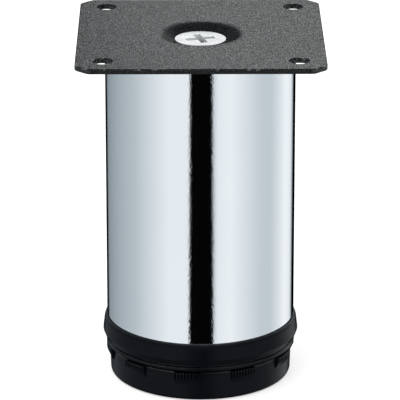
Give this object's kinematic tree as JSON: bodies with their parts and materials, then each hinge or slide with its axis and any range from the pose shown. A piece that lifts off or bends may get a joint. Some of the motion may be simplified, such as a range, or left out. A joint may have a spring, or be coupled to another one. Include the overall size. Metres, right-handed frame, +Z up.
{
  "type": "height adjustable table leg",
  "caption": "Short round chromed table leg with a square screw-on plate above and a black plastic foot below that screws in and out to set the height.",
  "frame": {"origin": "middle of the foot's sole, on the floor, with the foot screwed home", "axes": "+Z up the leg towards the mounting plate, X and Y along the plate's sides, -Y the front"},
  "size_m": [0.077, 0.077, 0.1125],
  "materials": {
    "plate_paint": "grained powder coat",
    "tube_chrome": "polished",
    "zinc_steel": "bright zinc",
    "black_plastic": "satin moulded"
  },
  "bodies": {
    "leg": {"mounting_plate": "plate_paint", "plate_screw": "zinc_steel", "leg_tube": "tube_chrome", "top_plug": "black_plastic", "top_nut": "zinc_steel", "end_collar": "black_plastic", "collar_nut": "zinc_steel"},
    "stop": {"stop_washer": "zinc_steel"},
    "foot": {"adjusting_foot": "black_plastic", "spindle": "zinc_steel", "retaining_clip": "zinc_steel"}
  },
  "joints": [
    {"name": "foot_lift", "type": "slide", "parent": "leg", "child": "stop", "axis": [0, 0, -1], "range_m": [0, 0.02]},
    {"name": "foot_turn", "type": "hinge", "parent": "stop", "child": "foot", "pos_m": [0, 0, 0], "axis": [0, 0, -1], "range_deg": [0, 4800]}
  ],
  "couplings": [
    {"joint": "foot_turn", "follows": "foot_lift", "rad_per_m": 4188.8}
  ]
}
